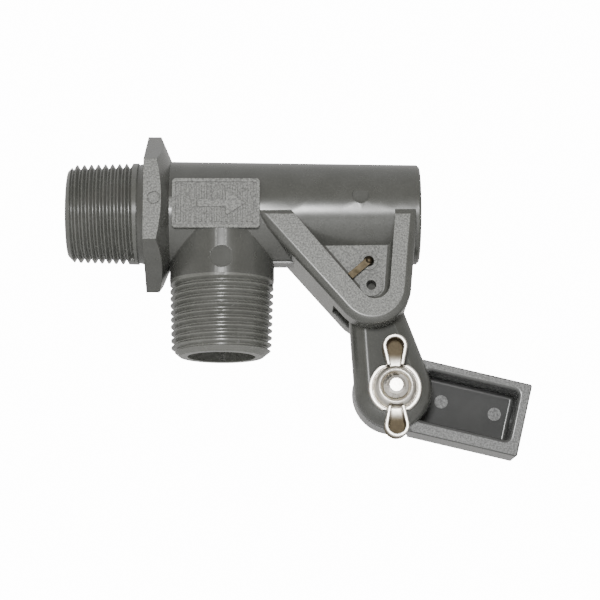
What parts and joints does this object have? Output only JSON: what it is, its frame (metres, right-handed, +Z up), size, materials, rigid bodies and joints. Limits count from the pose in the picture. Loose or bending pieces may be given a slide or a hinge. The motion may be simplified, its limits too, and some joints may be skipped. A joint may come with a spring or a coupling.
{
  "type": "float valve",
  "caption": "Plastic float valve with a threaded inlet and outlet, a lever on a split pin that drives a plunger, and a trough arm clamped by a wing nut.",
  "frame": {"origin": "centre of the hexagon flange's tank-side face, on the barrel's axis", "axes": "+X along the barrel, away from the tank; +Z up; -Y the side with the badge and the wing nut"},
  "size_m": [0.1189, 0.0356, 0.0832],
  "materials": {
    "body_plastic": "satin",
    "lever_plastic": "satin",
    "arm_plastic": "satin",
    "inner_plastic": "satin",
    "seal_rubber": "matte",
    "pin_brass": "satin",
    "bright_steel": "polished"
  },
  "bodies": {
    "valve": {"valve_body": "body_plastic", "pivot_pin": "pin_brass"},
    "plunger": {"plunger": "inner_plastic", "seal_disc": "seal_rubber", "plunger_o_rings": "seal_rubber"},
    "lever": {"lever": "lever_plastic"},
    "arm": {"float_arm": "arm_plastic", "arm_bolt": "bright_steel"},
    "nut": {"wing_nut": "bright_steel"}
  },
  "joints": [
    {"name": "lever_pivot", "type": "hinge", "parent": "valve", "child": "lever", "pos_m": [0.05675, 0, -0.014], "axis": [0, -1, 0], "range_deg": [-11.8, 7.8]},
    {"name": "plunger_slide", "type": "slide", "parent": "valve", "child": "plunger", "axis": [-1, 0, 0], "range_m": [-0.0026, 0.00167]},
    {"name": "arm_angle", "type": "hinge", "parent": "lever", "child": "arm", "pos_m": [0.06334, 0, -0.0458], "axis": [0, -1, 0], "range_deg": [-60, 24]},
    {"name": "nut_spin", "type": "hinge", "parent": "arm", "child": "nut", "pos_m": [0.06334, 0, -0.0458], "axis": [0, -1, 0], "continuous": true}
  ],
  "couplings": [
    {"joint": "plunger_slide", "follows": "lever_pivot", "m_per_rad": 0.012}
  ]
}
